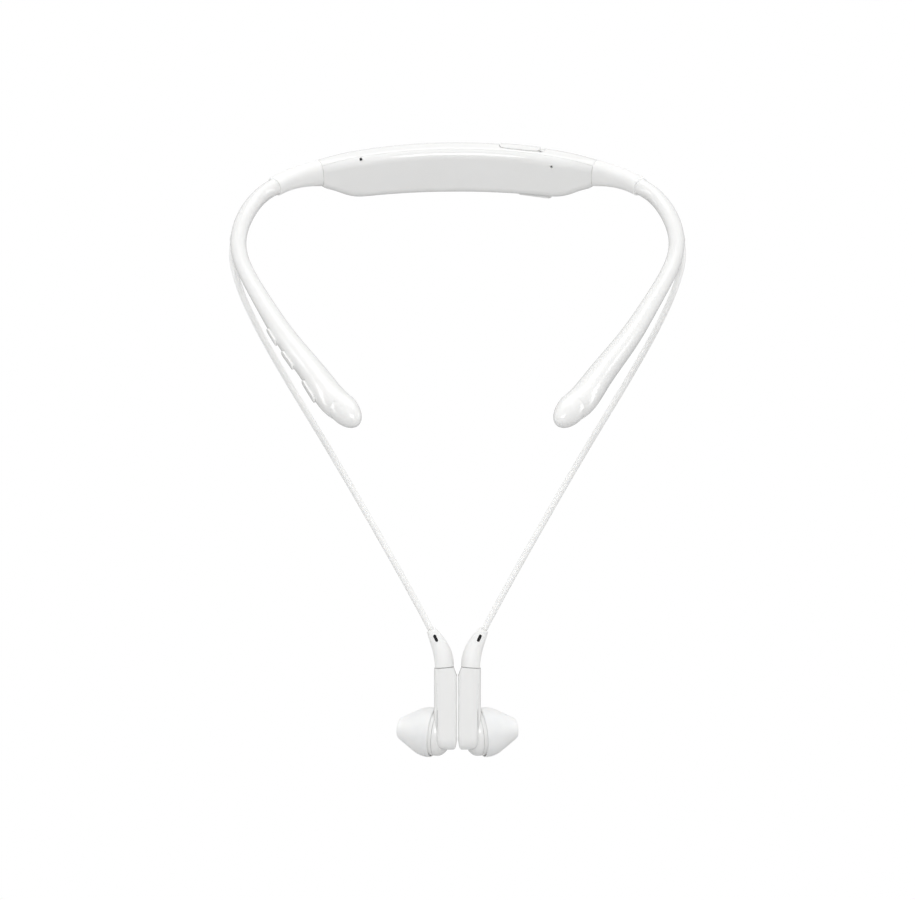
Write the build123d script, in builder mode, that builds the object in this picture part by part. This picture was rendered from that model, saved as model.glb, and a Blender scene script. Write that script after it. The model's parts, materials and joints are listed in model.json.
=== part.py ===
"""Neckband earphones: a curved housing behind the neck, two sprung arms and two corded earbuds.

Millimetres. +X is the viewer's right when the wearer faces the viewer, +Y is towards the wearer's
back and +Z is up. The origin is where the middle of the housing rests on the nape of the neck.
The band is drawn flat and WORN slopes it down to the front, as it lies on a neck. The earbuds
hang below it, held back to back by their magnets. Pairs are drawn on the +X side and mirrored.
"""

from build123d import *
import os
from math import cos, degrees, pi, radians, sin, tan

os.makedirs("parts", exist_ok=True)

# ---- The band's centreline, from the nape to an arm's tip: each arc's radius and end heading ----
BENDS = [(107, 27.5), (38, 72), (62, 108), (430, 122)]
TILT = 36  # how steeply the band slopes down to the front when it is worn
WORN = Location((0, 0, 0), (TILT, 0, 0))

# ---- Housing behind the neck ----
HOUSING_THICK, HOUSING_CORNER = 8.5, 3.0
BAND_TOP = 3.5  # the top edge keeps this level from the housing to the sleeves
HOUSING_DROP, HOUSING_BOW = 7.7, 1.0  # how much deeper it is in the middle, and what it loses
END_THICK, END_HEIGHT = 6.4, 9.2  # of that by FULL_HALF
HOUSING_HALF = 48.0
HOUSING_SECTIONS = 25
FULL_HALF = 33.0  # from here to its ends the housing rises quickly
WALL = 1.2
PARTING_OUT = -2.2  # the inner cover meets the outer shell here, out from the centreline
PARTING_GAP = 0.12
ROOM_FLOOR = BAND_TOP - END_HEIGHT - HOUSING_DROP + HOUSING_BOW + WALL
ROOM_TOP = BAND_TOP - WALL
ROOM_MIDDLE = (ROOM_FLOOR + ROOM_TOP) / 2

# ---- Power slider, charging port, microphones and board, in the housing ----
SLIDER_AT, SLIDER_LENGTH, SLIDER_WIDTH, SLIDER_OUT = 22.0, 13.8, 4.2, 1.3
SLIDER_TRAVEL, SLIDER_GAP, SLIDER_PROUD = 1.6, 0.2, 0.3
PEG_LENGTH, PEG_WIDTH, PEG_REACH = 1.2, 1.2, 1.0
FLAP_AT, FLAP_LENGTH, FLAP_WIDTH, FLAP_OUT = 27.0, 11.5, 4.4, 0.25
FLAP_THICK, FLAP_PROUD, FLAP_GAP = 1.1, 0.8, 0.15
PORT_LENGTH, PORT_WIDTH, PORT_DEPTH = 7.4, 2.6, 5.4
MIC_HOLE_RADIUS = 0.5
MIC_HOLES = [(-34.1, 2.8), (33.5, 0.45)]  # distance along the housing, height
BOARD_AT, BOARD_OUT, BOARD_THICK = 19.5, -0.2, 0.8
BOARD_LENGTH, BOARD_HEIGHT = 27.0, 8.6
BOARD_MIDDLE = ROOM_FLOOR + 0.5 + BOARD_HEIGHT / 2

# ---- Sleeves and arms ----
SLEEVE_LENGTH, SLEEVE_THICK, SLEEVE_HEIGHT = 18.6, 6.1, 6.1  # its size at the arm
ARM_START = HOUSING_HALF + SLEEVE_LENGTH
ARM_SECTIONS = [  # distance from the arm's start, width across the band, height (always more)
    (0, 5.4, 5.6),
    (17, 5.4, 5.55),
    (34, 5.2, 5.35),
    (51, 5.1, 5.3),
    (68, 5.4, 5.6),
    (85, 6.1, 6.5),
    (102, 6.9, 7.6),
    (119, 7.9, 8.6),
    (138, 8.5, 9.0),
]
TIP_LENGTH = 9.0  # the arm closes in a half ellipse of this length
TIP_ANGLES = (0, 18, 36, 52, 66, 77, 85)
ARM_WALL = 1.0
ARM_PARTING = Plane(origin=(0, -17, -1.9), z_dir=(0, -0.008, 1))
STRIP_THICK, STRIP_HEIGHT = 1.0, 3.0
WIRE_RADIUS, WIRE_OUT = 0.4, 1.1
STRIP_ENDS = (HOUSING_HALF - 4, ARM_START + 4)

# ---- Keys, in the arm on the -X side ----
KEYS = [  # name, distance along the arm, length
    ("volume_up_key", 92.9, 8.0),
    ("volume_down_key", 106.7, 8.8),
    ("play_key", 124.8, 10.5),
]
KEY_WIDTH, KEY_UP, KEY_GAP, KEY_PROUD, KEY_TRAVEL = 2.6, -0.7, 0.15, 0.7, 0.4
KEY_BOARD_AT, KEY_BOARD_OUT, KEY_BOARD_LENGTH = 109.0, 0.2, 38.0
KEY_BOARD_HEIGHT, KEY_BOARD_THICK, SWITCH_HEIGHT = 2.6, 0.6, 0.6

# ---- Cords, and the tapered glands that they leave the arms by ----
CORD_RADIUS = 1.0
GLAND_FROM, GLAND_TO = 89.5, 97.3  # distances along the centreline
CORD_OUT, CORD_UP = 2.1, -3.4

# ---- Earbuds ----
BUD_Y = -50.0
SEAM_Z = -167.7  # the middle of the seam between a stem and its boot
SEAM_SLOPE = 4.5
STEM_IN, STEM_OUT, STEM_DEPTH, STEM_LENGTH = 0.2, 7.5, 8.0, 26.5
STEM_MIDDLE = (STEM_IN + STEM_OUT) / 2
STEM_FOOT = SEAM_Z - STEM_LENGTH
STEM_BASE = 4.0  # the stem's rounded foot is this tall
SEAM_GAP = 0.15
STEM_WALL, COVER_THICK, COVER_GAP = 0.9, 0.7, 0.06
BOOT_SECTIONS = [  # x, height above the seam, lean from the vertical, width, depth
    (4.2, 0.0, 4.5, 6.1, 7.2),
    (4.6, 3.6, 7, 6.0, 6.7),
    (5.6, 6.6, 15, 5.4, 5.8),
    (7.0, 9.3, 25, 4.4, 4.6),
    (8.5, 11.9, 29, 3.0, 3.0),
]
VENT_AT, VENT_LENGTH, VENT_WIDTH = 3, 2.5, 1.0  # which boot section, and the slot's size
CAPSULE_RIM = (7.8, BUD_Y + 4.7, -189.3)  # the middle of the ear tip's open edge
NOZZLE_BACK, NOZZLE_UP = 15, 6  # the nozzle turns back and up by these
TIP_GAP = 0.1


def spot(s):
    """Where the centreline is s from the nape: x, y and its heading, clockwise from +X."""
    x, y, heading = 0.0, HOUSING_THICK / 2, 0.0
    for radius, end in BENDS:
        turn = min(degrees(s / radius), end - heading)
        before, after = radians(heading), radians(heading + turn)
        x += radius * (sin(after) - sin(before))
        y += radius * (cos(after) - cos(before))
        heading += turn
        s -= radius * radians(turn)
    return x, y, heading


def station(s, out=0.0, up=0.0):
    """The plane across the band s from the nape: its X points out of the loop and its Y up."""
    side = 1 if s >= 0 else -1
    x, y, heading = spot(abs(s))
    turn = radians(heading) * side
    outward = Vector(sin(turn), cos(turn), 0)
    origin = Vector(side * x, y, 0) + outward * out + Vector(0, 0, up)
    return Plane(origin=origin, x_dir=outward, z_dir=Vector(cos(turn), -sin(turn), 0))


def facing_out(s, out):
    """The plane that lies against the band's outer side: X runs along the band, Y points up."""
    across = station(s, out)
    return Plane(origin=across.origin, x_dir=-across.z_dir, z_dir=across.x_dir)


def facing_up(s, out, up):
    """The plane that lies on top of the band: X runs along the band, Z points up."""
    across = station(s, out, up)
    return Plane(origin=across.origin, x_dir=across.z_dir, z_dir=across.y_dir)


def band_line(start, end, out):
    """Draws the arcs that run along the band from start to end, out from the centreline."""
    reached, heading = 0.0, 0.0
    for radius, last in BENDS:
        length = radius * radians(last - heading)
        first, final = max(start, reached), min(end, reached + length)
        if first < final:
            h = radians(heading)
            x, y, _ = spot(reached)
            CenterArc(
                (x - radius * sin(h), y - radius * cos(h)),
                radius + out,
                90 - heading - degrees((first - reached) / radius),
                -degrees((final - first) / radius),
            )
        reached, heading = reached + length, last


def save(shape, name, worn=False):
    """Labels a finished piece and writes it, sloped with the band where it is part of it."""
    piece = shape.moved(WORN) if worn else shape
    piece.label = name
    export_step(piece, f"parts/{name}.step")


def save_pair(shape, name, worn=False):
    """Writes a piece drawn on the +X side, and its mirror image, as NAME_right and NAME_left."""
    save(shape, f"{name}_right", worn)
    save(mirror(shape, about=Plane.YZ), f"{name}_left", worn)


# ================= Housing =================


def end_share(s):
    """0 at the housing's ends, rising to 1 by FULL_HALF as a quarter of a sine wave."""
    return sin(pi / 2 * min(1.0, (HOUSING_HALF - abs(s)) / (HOUSING_HALF - FULL_HALF)))


def extra_depth(s):
    """How much deeper the housing is than its ends, s from the middle: most in the middle."""
    return (HOUSING_DROP - HOUSING_BOW * (s / FULL_HALF) ** 2) * end_share(s)


def housing_loft(inset, half, mode=Mode.ADD):
    """Lofts the housing's rounded rectangles, all round inset inside its outer surface."""
    sections = []
    for index in range(HOUSING_SECTIONS):
        s = half * (2 * index / (HOUSING_SECTIONS - 1) - 1)
        thick = END_THICK + (HOUSING_THICK - END_THICK) * end_share(s) - 2 * inset
        height = END_HEIGHT + extra_depth(s) - 2 * inset
        middle = BAND_TOP - (END_HEIGHT + extra_depth(s)) / 2
        with BuildSketch(station(s)) as section:
            with Locations((0, middle)):
                RectangleRounded(thick, height, HOUSING_CORNER - inset)
        sections.append(section.sketch)
    loft(sections, mode=mode)


def cut_passage(s):
    """Cuts the way for the spring strip and the wires through an end wall."""
    with BuildSketch(station(s)) as passage:
        Rectangle(STRIP_THICK + 0.2, STRIP_HEIGHT + 0.2)
        with Locations((WIRE_OUT, 0)):
            Circle(WIRE_RADIUS + 0.25)
    extrude(passage.sketch, amount=3, mode=Mode.SUBTRACT)


with BuildPart() as housing:
    housing_loft(0, HOUSING_HALF)
    housing_loft(WALL, HOUSING_HALF - WALL, Mode.SUBTRACT)
    cut_passage(HOUSING_HALF - 2)
    cut_passage(-HOUSING_HALF - 1)

NAPE_CENTRE = (0, HOUSING_THICK / 2 - BENDS[0][0])
FLOOR_AT_FLAP = BAND_TOP - END_HEIGHT - extra_depth(FLAP_AT)

with BuildPart() as housing_inner_cover:
    add(housing.part)
    with BuildSketch(Plane.XY.offset(-20)):
        with Locations(NAPE_CENTRE):
            Circle(BENDS[0][0] + PARTING_OUT - PARTING_GAP / 2)
    extrude(amount=30, mode=Mode.INTERSECT)
    for s, height in MIC_HOLES:
        with BuildSketch(facing_out(s, -6)):
            with Locations((0, height)):
                Circle(MIC_HOLE_RADIUS)
        extrude(amount=3.4, mode=Mode.SUBTRACT)
save(housing_inner_cover.part, "housing_inner_cover", True)

with BuildPart() as housing_outer_shell:
    add(housing.part)
    with BuildSketch(Plane.XY.offset(-20)):
        with Locations(NAPE_CENTRE):
            Circle(BENDS[0][0] + PARTING_OUT + PARTING_GAP / 2)
    extrude(amount=30, mode=Mode.SUBTRACT)
    # the slider's window is longer than the knob by its travel
    with BuildSketch(facing_up(SLIDER_AT, SLIDER_OUT, ROOM_TOP - 0.3)):
        RectangleRounded(
            SLIDER_LENGTH + SLIDER_TRAVEL + 2 * SLIDER_GAP, SLIDER_WIDTH + 2 * SLIDER_GAP, 1.7
        )
    extrude(amount=5, mode=Mode.SUBTRACT)
    # the recess that the flap lies in, and the way to the charging port
    with BuildSketch(facing_up(FLAP_AT, FLAP_OUT, FLOOR_AT_FLAP - 1)):
        RectangleRounded(FLAP_LENGTH + 2 * FLAP_GAP, FLAP_WIDTH + 2 * FLAP_GAP, 1.2)
    extrude(amount=1 + FLAP_THICK - FLAP_PROUD + 0.05, mode=Mode.SUBTRACT)
    with BuildSketch(facing_up(FLAP_AT, 0, FLOOR_AT_FLAP - 1)):
        RectangleRounded(PORT_LENGTH, PORT_WIDTH, 0.6)
    extrude(amount=3, mode=Mode.SUBTRACT)
save(housing_outer_shell.part, "housing_outer_shell", True)

KNOB_AT = SLIDER_AT - SLIDER_TRAVEL / 2  # the knob rests at the off end of its window

with BuildPart() as power_slider:
    housing_loft(-SLIDER_PROUD, HOUSING_HALF)
    with BuildSketch(facing_up(KNOB_AT, SLIDER_OUT, ROOM_TOP - 0.1)):
        RectangleRounded(SLIDER_LENGTH, SLIDER_WIDTH, 1.5)
    extrude(amount=5, mode=Mode.INTERSECT)
    with Locations(facing_up(KNOB_AT, SLIDER_OUT - SLIDER_WIDTH / 4, ROOM_TOP)):
        Box(PEG_LENGTH, PEG_WIDTH, PEG_REACH, align=(Align.CENTER, Align.CENTER, Align.MAX))
save(power_slider.part, "power_slider", True)

with BuildPart() as power_switch:
    with Locations(facing_up(SLIDER_AT, SLIDER_OUT - SLIDER_WIDTH / 4, ROOM_TOP - 0.6)):
        Box(7.0, 2.6, 2.4, align=(Align.CENTER, Align.CENTER, Align.MAX))
        Box(PEG_LENGTH + SLIDER_TRAVEL + 0.4, PEG_WIDTH + 0.4, 1.0, mode=Mode.SUBTRACT)
save(power_switch.part, "power_switch", True)

with BuildPart() as battery_cell:
    with Locations(station(-17.3, -0.5, ROOM_MIDDLE)):
        Box(3.8, 10.4, 23)
    fillet(battery_cell.edges().sort_by(SortBy.LENGTH)[-4:], 1.2)
save(battery_cell.part, "battery_cell", True)

with BuildPart() as vibration_motor:
    with BuildSketch(facing_out(0, -1.1)):
        with Locations((0, ROOM_MIDDLE)):
            Circle(4.0)
    extrude(amount=2.7)
save(vibration_motor.part, "vibration_motor", True)

SCREW_SPOTS = [(-12.0, BOARD_MIDDLE + 2.9), (12.0, BOARD_MIDDLE + 2.9)]
BOARD_FACE = facing_out(BOARD_AT, BOARD_OUT + BOARD_THICK / 2)

with BuildPart() as main_board:
    with BuildSketch(BOARD_FACE):
        with Locations((0, BOARD_MIDDLE)):
            RectangleRounded(BOARD_LENGTH, BOARD_HEIGHT, 0.8)
        with Locations((BOARD_AT - FLAP_AT, ROOM_FLOOR + 2)):
            Rectangle(PORT_LENGTH + 0.6, 7.2, mode=Mode.SUBTRACT)
        with Locations(*SCREW_SPOTS):
            Circle(0.7, mode=Mode.SUBTRACT)
    extrude(amount=-BOARD_THICK)
save(main_board.part, "main_board", True)

with BuildPart() as board_screws:
    for spot_x, spot_y in SCREW_SPOTS:
        with BuildSketch(BOARD_FACE):
            with Locations((spot_x, spot_y)):
                Circle(1.1)
        extrude(amount=0.7)
        with BuildSketch(BOARD_FACE):
            with Locations((spot_x, spot_y)):
                Circle(0.6)
        extrude(amount=-1.6)
save(board_screws.part, "board_screws", True)

with BuildPart() as radio_shield:
    with BuildSketch(BOARD_FACE):
        with Locations((5.2, BOARD_MIDDLE - 0.6)):
            RectangleRounded(9.0, 7.0, 0.6)
    extrude(amount=1.3)
save(radio_shield.part, "radio_shield", True)

with BuildPart() as usb_receptacle:
    with BuildSketch(facing_up(FLAP_AT, 0, ROOM_FLOOR + 0.15)):
        RectangleRounded(PORT_LENGTH, PORT_WIDTH + 0.2, 0.8)
    extrude(amount=PORT_DEPTH)
    with BuildSketch(facing_up(FLAP_AT, 0, ROOM_FLOOR + 0.15)):
        RectangleRounded(PORT_LENGTH - 0.7, PORT_WIDTH - 0.5, 0.5)
    extrude(amount=PORT_DEPTH - 0.7, mode=Mode.SUBTRACT)
    with Locations(facing_up(FLAP_AT, 0.4, ROOM_FLOOR + 1.6)):
        Box(4.4, 0.6, PORT_DEPTH - 1.6, align=(Align.CENTER, Align.CENTER, Align.MIN))
save(usb_receptacle.part, "usb_receptacle", True)

FLAP_BOTTOM = FLOOR_AT_FLAP - FLAP_PROUD

with BuildPart() as usb_flap:
    with BuildSketch(facing_up(FLAP_AT, FLAP_OUT, FLAP_BOTTOM)):
        RectangleRounded(FLAP_LENGTH, FLAP_WIDTH, 1.1)
    extrude(amount=FLAP_THICK)
    with BuildSketch(facing_up(FLAP_AT, -0.25, FLAP_BOTTOM + FLAP_THICK)):
        RectangleRounded(5.4, 1.2, 0.3)
    extrude(amount=1.9)  # the plug that keeps it shut
save(usb_flap.part, "usb_flap", True)

with BuildPart() as microphones:
    for s, height in MIC_HOLES:
        with Locations(station(s, -1.6, min(height, 0.7))):
            Box(1.0, 2.6, 3.0)
save(microphones.part, "microphones", True)

with BuildPart() as mic_screens:
    for s, height in MIC_HOLES:
        with BuildSketch(facing_out(s, -3.0)):
            with Locations((0, height)):
                Circle(MIC_HOLE_RADIUS)
        extrude(amount=0.3)
save(mic_screens.part, "mic_screens", True)

# ================= Sleeves and what runs through them =================

with BuildPart() as flex_sleeve:
    for part in (0, 0.2, 0.4, 0.6, 0.8, 1):
        share = 1 - (1 - part) ** 2  # it narrows quickly at first, then evens out
        width = END_THICK + (SLEEVE_THICK - END_THICK) * share
        height = END_HEIGHT + (SLEEVE_HEIGHT - END_HEIGHT) * share
        middle = (BAND_TOP - END_HEIGHT / 2) * (1 - share)
        with BuildSketch(station(HOUSING_HALF + SLEEVE_LENGTH * part, 0, middle)):
            RectangleRounded(width, height, 0.45 * width)
    loft()
    for part in (0, 0.33, 0.67, 1):
        with BuildSketch(station(HOUSING_HALF + SLEEVE_LENGTH * part)):
            RectangleRounded(3.4, 4.0, 1.4)
    loft(mode=Mode.SUBTRACT)
save_pair(flex_sleeve.part, "flex_sleeve", True)

with BuildPart() as spring_strip:
    with BuildLine() as strip_line:
        band_line(*STRIP_ENDS, 0)
    with BuildSketch(station(STRIP_ENDS[0])):
        Rectangle(STRIP_THICK, STRIP_HEIGHT)
    sweep(path=strip_line.wires()[0])
save_pair(spring_strip.part, "spring_strip", True)

WIRE_ENDS = [  # where the wires run to: the gland, and on the -X side the key board too
    ("right", GLAND_FROM + 1),
    ("left", ARM_START + KEY_BOARD_AT - KEY_BOARD_LENGTH / 2 - 1),
]
for side, wire_end in WIRE_ENDS:
    with BuildPart() as wire_loom:
        with BuildLine() as wire_line:
            band_line(STRIP_ENDS[0], wire_end, WIRE_OUT)
        with BuildSketch(station(STRIP_ENDS[0], WIRE_OUT)):
            Circle(WIRE_RADIUS)
        sweep(path=wire_line.wires()[0])
    loom = wire_loom.part if side == "right" else mirror(wire_loom.part, about=Plane.YZ)
    save(loom, f"wire_loom_{side}", True)

# ================= Arms =================


def arm_loft(grow, mode=Mode.ADD):
    """Lofts the arm's ellipses, grown all round by grow, and then its rounded tip."""
    last, width, height = ARM_SECTIONS[-1]
    body = [(max(a, -grow), w / 2 + grow, h / 2 + grow) for a, w, h in ARM_SECTIONS]
    tip = []
    for angle in TIP_ANGLES:
        reach, share = sin(radians(angle)), cos(radians(angle))
        tip.append((last + (TIP_LENGTH + grow) * reach, (width / 2 + grow) * share,
                    (height / 2 + grow) * share))
    for sizes in (body, tip):
        sections = []
        for a, half_width, half_height in sizes:
            with BuildSketch(station(ARM_START + a)) as section:
                Ellipse(half_width, half_height)
            sections.append(section.sketch)
        loft(sections, mode=mode)


with BuildPart() as cord_gland:
    for s, out, up, radius in (
        (GLAND_FROM, 0.9, -1.8, 0.8),
        (GLAND_FROM + 2.4, 1.5, -2.6, 1.3),
        (GLAND_FROM + 5.2, CORD_OUT - 0.1, CORD_UP + 0.1, 1.5),
        (GLAND_TO, CORD_OUT, CORD_UP, 1.25),
    ):
        with BuildSketch(station(s, out, up)):
            Circle(radius)
    loft()
save_pair(cord_gland.part, "cord_gland", True)

with BuildPart() as plain_arm:
    arm_loft(0)
    arm_loft(-ARM_WALL, Mode.SUBTRACT)
    cut_passage(ARM_START - 1)
    add(cord_gland.part, mode=Mode.SUBTRACT)

KEY_PLANE = facing_out(ARM_START + KEY_BOARD_AT, 0)


def key_slot(a, length, width, start, mode):
    """Extrudes a slot shape outwards from the key board's plane, a along the arm."""
    with BuildSketch(KEY_PLANE.offset(start)) as slot:
        with Locations((KEY_BOARD_AT - a, KEY_UP)):
            SlotOverall(length, width)
    extrude(slot.sketch, amount=6, mode=mode)


with BuildPart() as keyed_arm:
    add(plain_arm.part)
    for name, a, length in KEYS:
        key_slot(a, length + 2 * KEY_GAP, KEY_WIDTH + 2 * KEY_GAP, 1.2, Mode.SUBTRACT)

for side, source in (("left", keyed_arm), ("right", plain_arm)):
    for level, gap, keep in (("upper", 0.5, Keep.TOP), ("lower", -0.5, Keep.BOTTOM)):
        with BuildPart() as arm_shell:
            add(source.part)
            split(bisect_by=ARM_PARTING.offset(gap * PARTING_GAP), keep=keep)
        shell = arm_shell.part if side == "right" else mirror(arm_shell.part, about=Plane.YZ)
        save(shell, f"arm_{level}_shell_{side}", True)

KEY_FOOT = KEY_BOARD_OUT + KEY_BOARD_THICK + SWITCH_HEIGHT + KEY_TRAVEL + 0.05
for name, a, length in KEYS:
    with BuildPart() as key:
        arm_loft(KEY_PROUD)
        key_slot(a, length, KEY_WIDTH, KEY_FOOT, Mode.INTERSECT)
    save(mirror(key.part, about=Plane.YZ), name, True)

with BuildPart() as key_board:
    with BuildSketch(KEY_PLANE.offset(KEY_BOARD_OUT)):
        with Locations((0, KEY_UP + 0.2)):
            RectangleRounded(KEY_BOARD_LENGTH, KEY_BOARD_HEIGHT, 0.6)
    extrude(amount=KEY_BOARD_THICK)
save(mirror(key_board.part, about=Plane.YZ), "key_board", True)

with BuildPart() as key_switches:
    for name, a, length in KEYS:
        with BuildSketch(KEY_PLANE.offset(KEY_BOARD_OUT + KEY_BOARD_THICK)):
            with Locations((KEY_BOARD_AT - a, KEY_UP)):
                RectangleRounded(3.2, 2.2, 0.3)
        extrude(amount=SWITCH_HEIGHT * 0.6)
        with BuildSketch(KEY_PLANE.offset(KEY_BOARD_OUT + KEY_BOARD_THICK)):
            with Locations((KEY_BOARD_AT - a, KEY_UP)):
                Circle(0.9)
        extrude(amount=SWITCH_HEIGHT)
save(mirror(key_switches.part, about=Plane.YZ), "key_switches", True)

# ================= Cords =================

SEAM = Plane(
    origin=(STEM_MIDDLE, BUD_Y, SEAM_Z),
    x_dir=(cos(radians(SEAM_SLOPE)), 0, -sin(radians(SEAM_SLOPE))),
    z_dir=(sin(radians(SEAM_SLOPE)), 0, cos(radians(SEAM_SLOPE))),
)
BOOT_PLANES = [
    Plane(
        origin=(x, BUD_Y, SEAM_Z + rise),
        x_dir=(cos(radians(lean)), 0, -sin(radians(lean))),
        z_dir=(sin(radians(lean)), 0, cos(radians(lean))),
    )
    for x, rise, lean, width, depth in BOOT_SECTIONS
]
GLAND_END = station(GLAND_TO, CORD_OUT, CORD_UP)
CORD_ROUTE = [
    (WORN * Location(GLAND_END.offset(0.05).origin)).position,
    (WORN * Location(GLAND_END.offset(6.5).origin)).position,
    Vector(72.3, -45.6, -39.6),
    Vector(69.4, -49.1, -47.8),
    Vector(65.7, -50.4, -55.8),
    Vector(60.8, -50.9, -65.0),
    Vector(52.9, -51.0, -78.6),
    Vector(39.6, -50.8, -100.4),
    Vector(24.2, -50.5, -127.2),
    Vector(13.8, -50.1, -145.8),
    BOOT_PLANES[-1].offset(0.05).origin,
]


def boot_section(index):
    """One of the boot's rounded sections, from its seam with the stem up to the cord."""
    x, rise, lean, width, depth = BOOT_SECTIONS[index]
    with BuildSketch(BOOT_PLANES[index]) as section:
        RectangleRounded(width, depth, 0.46 * width)
    return section.sketch


def bend_radii(route):
    """The largest arc that each corner of a route has room for."""
    radii = []
    for before, corner, after in zip(route, route[1:], route[2:]):
        run_in, run_out = corner - before, after - corner
        turn = radians(run_in.get_angle(run_out))
        radii.append(0.45 * min(run_in.length, run_out.length) / tan(turn / 2))
    return radii


with BuildPart() as cord:
    with BuildLine() as cord_line:
        FilletPolyline(*CORD_ROUTE, radius=bend_radii(CORD_ROUTE))
    with BuildSketch(Plane(origin=CORD_ROUTE[0], z_dir=CORD_ROUTE[1] - CORD_ROUTE[0])):
        Circle(CORD_RADIUS)
    sweep(path=cord_line.wires()[0])
save_pair(cord.part, "cord")
cord_length = cord_line.wires()[0].length
print("cord length", round(cord_length, 1), "volume", round(cord.part.volume, 1),
      "section times length", round(pi * CORD_RADIUS**2 * cord_length, 1))
print("cord radii", [round(r, 1) for r in bend_radii(CORD_ROUTE)])
print("cord runs", [round((b - a).length, 1) for a, b in zip(CORD_ROUTE, CORD_ROUTE[1:])])
print("cord starts at", CORD_ROUTE[0], "and ends at", CORD_ROUTE[-1])

# ================= Earbuds =================

CAPSULE_AXIS = Vector(
    cos(radians(NOZZLE_BACK)) * cos(radians(NOZZLE_UP)),
    sin(radians(NOZZLE_BACK)) * cos(radians(NOZZLE_UP)),
    sin(radians(NOZZLE_UP)),
)
CAPSULE_SIDE = CAPSULE_AXIS.cross(Vector(0, 0, 1)).normalized()
# in this plane X is the distance from the capsule's axis, and Y runs along it to the nozzle
CAPSULE_PLANE = Plane(
    origin=CAPSULE_RIM, x_dir=CAPSULE_SIDE, z_dir=CAPSULE_SIDE.cross(CAPSULE_AXIS)
)
CAPSULE_TURN = Axis(CAPSULE_RIM, CAPSULE_AXIS)

with BuildPart() as capsule_rear:
    with BuildSketch(CAPSULE_PLANE):
        with BuildLine():
            Polyline((0, -4.1), (0, -5.0), (4.1, -5.0))
            RadiusArc((4.1, -5.0), (7.3, -1.8), -3.2)
            Polyline((7.3, -1.8), (7.3, -1.3), (6.4, -1.3), (6.4, -1.8))
            RadiusArc((6.4, -1.8), (4.1, -4.1), 2.3)
            Line((4.1, -4.1), (0, -4.1))
        make_face()
    revolve(axis=CAPSULE_TURN)
save_pair(capsule_rear.part, "capsule_rear")

with BuildPart() as capsule_front:
    with BuildSketch(CAPSULE_PLANE):
        with BuildLine():
            Line((7.3, -1.2), (7.3, 0.4))
            Spline((7.3, 0.4), (6.6, 2.6), (4.4, 4.6), (2.6, 6.2), tangents=((0, 1), (0, 1)))
            Polyline((2.6, 6.2), (2.6, 9.4), (2.4, 9.6), (1.8, 9.6), (1.8, 5.9))
            Spline((1.8, 5.9), (4.0, 3.8), (5.9, 2.0), (6.4, 0.4))
            Polyline((6.4, 0.4), (6.4, -1.2), (7.3, -1.2))
        make_face()
    revolve(axis=CAPSULE_TURN)
save_pair(capsule_front.part, "capsule_front")

with BuildPart() as speaker_driver:
    with BuildSketch(CAPSULE_PLANE):
        with BuildLine():
            Polyline((0, -4.0), (3.6, -4.0), (3.6, -2.6), (5.5, -2.2), (6.0, -1.4), (6.0, -0.2),
                     (5.2, 0.2), (3.2, 0.2), (0, 0.9), close=True)
        make_face()
    revolve(axis=CAPSULE_TURN)
save_pair(speaker_driver.part, "speaker_driver")

with BuildPart() as nozzle_mesh:
    with BuildSketch(CAPSULE_PLANE):
        with Locations((0.9, 9.2)):
            Rectangle(1.8, 0.2)
    revolve(axis=CAPSULE_TURN)
save_pair(nozzle_mesh.part, "nozzle_mesh")

with BuildPart() as ear_tip:
    with BuildSketch(CAPSULE_PLANE):
        bore, core = 2.6 + TIP_GAP, 3.5
        with BuildLine():
            Spline((7.95, 0), (8.0, 1.6), (7.5, 3.8), (5.9, 6.8), (4.3, 9.4), (3.5, 10.9))
            RadiusArc((3.5, 10.9), (2.7, 11.7), -0.9)
            Polyline((2.7, 11.7), (1.9, 11.4), (1.9, 9.9), (bore, 9.9), (bore, 6.6),
                     (core, 6.6), (core, 8.9))
            Spline((core, 8.9), (3.9, 8.8), (5.4, 6.5), (7.0, 3.6), (7.55, 1.6), (7.6, 0))
            Line((7.6, 0), (7.95, 0))
        make_face()
    revolve(axis=CAPSULE_TURN)
save_pair(ear_tip.part, "ear_tip")


def stem_section(height, inset):
    """The stem's D-shaped section at a height above its foot, drawn in by inset."""
    x_in, x_out = STEM_IN + 0.35 * inset, STEM_OUT - inset
    front, back = BUD_Y - STEM_DEPTH / 2 + inset, BUD_Y + STEM_DEPTH / 2 - inset
    round_out, round_in = 3.3 - 0.75 * inset, 1.0 - 0.15 * inset
    with BuildSketch(Plane.XY.offset(STEM_FOOT + height)) as section:
        with BuildLine():
            FilletPolyline(
                (x_in, front), (x_out, front), (x_out, back), (x_in, back),
                radius=[round_in, round_out, round_out, round_in], close=True,
            )
        make_face()
    return section.sketch


with BuildPart() as stem:
    extrude(stem_section(STEM_BASE, 0), amount=STEM_LENGTH)
    loft([
        stem_section(STEM_BASE * (1 - sin(radians(angle))), 3.2 * (1 - cos(radians(angle))))
        for angle in (84, 76, 62, 45, 25, 0)
    ])
    split(bisect_by=SEAM.offset(-SEAM_GAP), keep=Keep.BOTTOM)
    with BuildSketch(Plane.XZ.offset(-BUD_Y)):  # the corner cut away between the two stems
        with BuildLine():
            Polyline((-1, SEAM_Z - 3), (STEM_IN, SEAM_Z - 3), (1.4, SEAM_Z + 0.2),
                     (1.4, SEAM_Z + 2), (-1, SEAM_Z + 2), close=True)
        make_face()
    extrude(amount=STEM_DEPTH, both=True, mode=Mode.SUBTRACT)

COVER_FACE = Plane.YZ.offset(STEM_IN + COVER_THICK)
ROOM_MID_Z = STEM_FOOT + 12.4

with BuildPart() as stem_cover:
    add(stem.part)
    split(bisect_by=COVER_FACE, keep=Keep.BOTTOM)
save_pair(stem_cover.part, "stem_cover")

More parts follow.
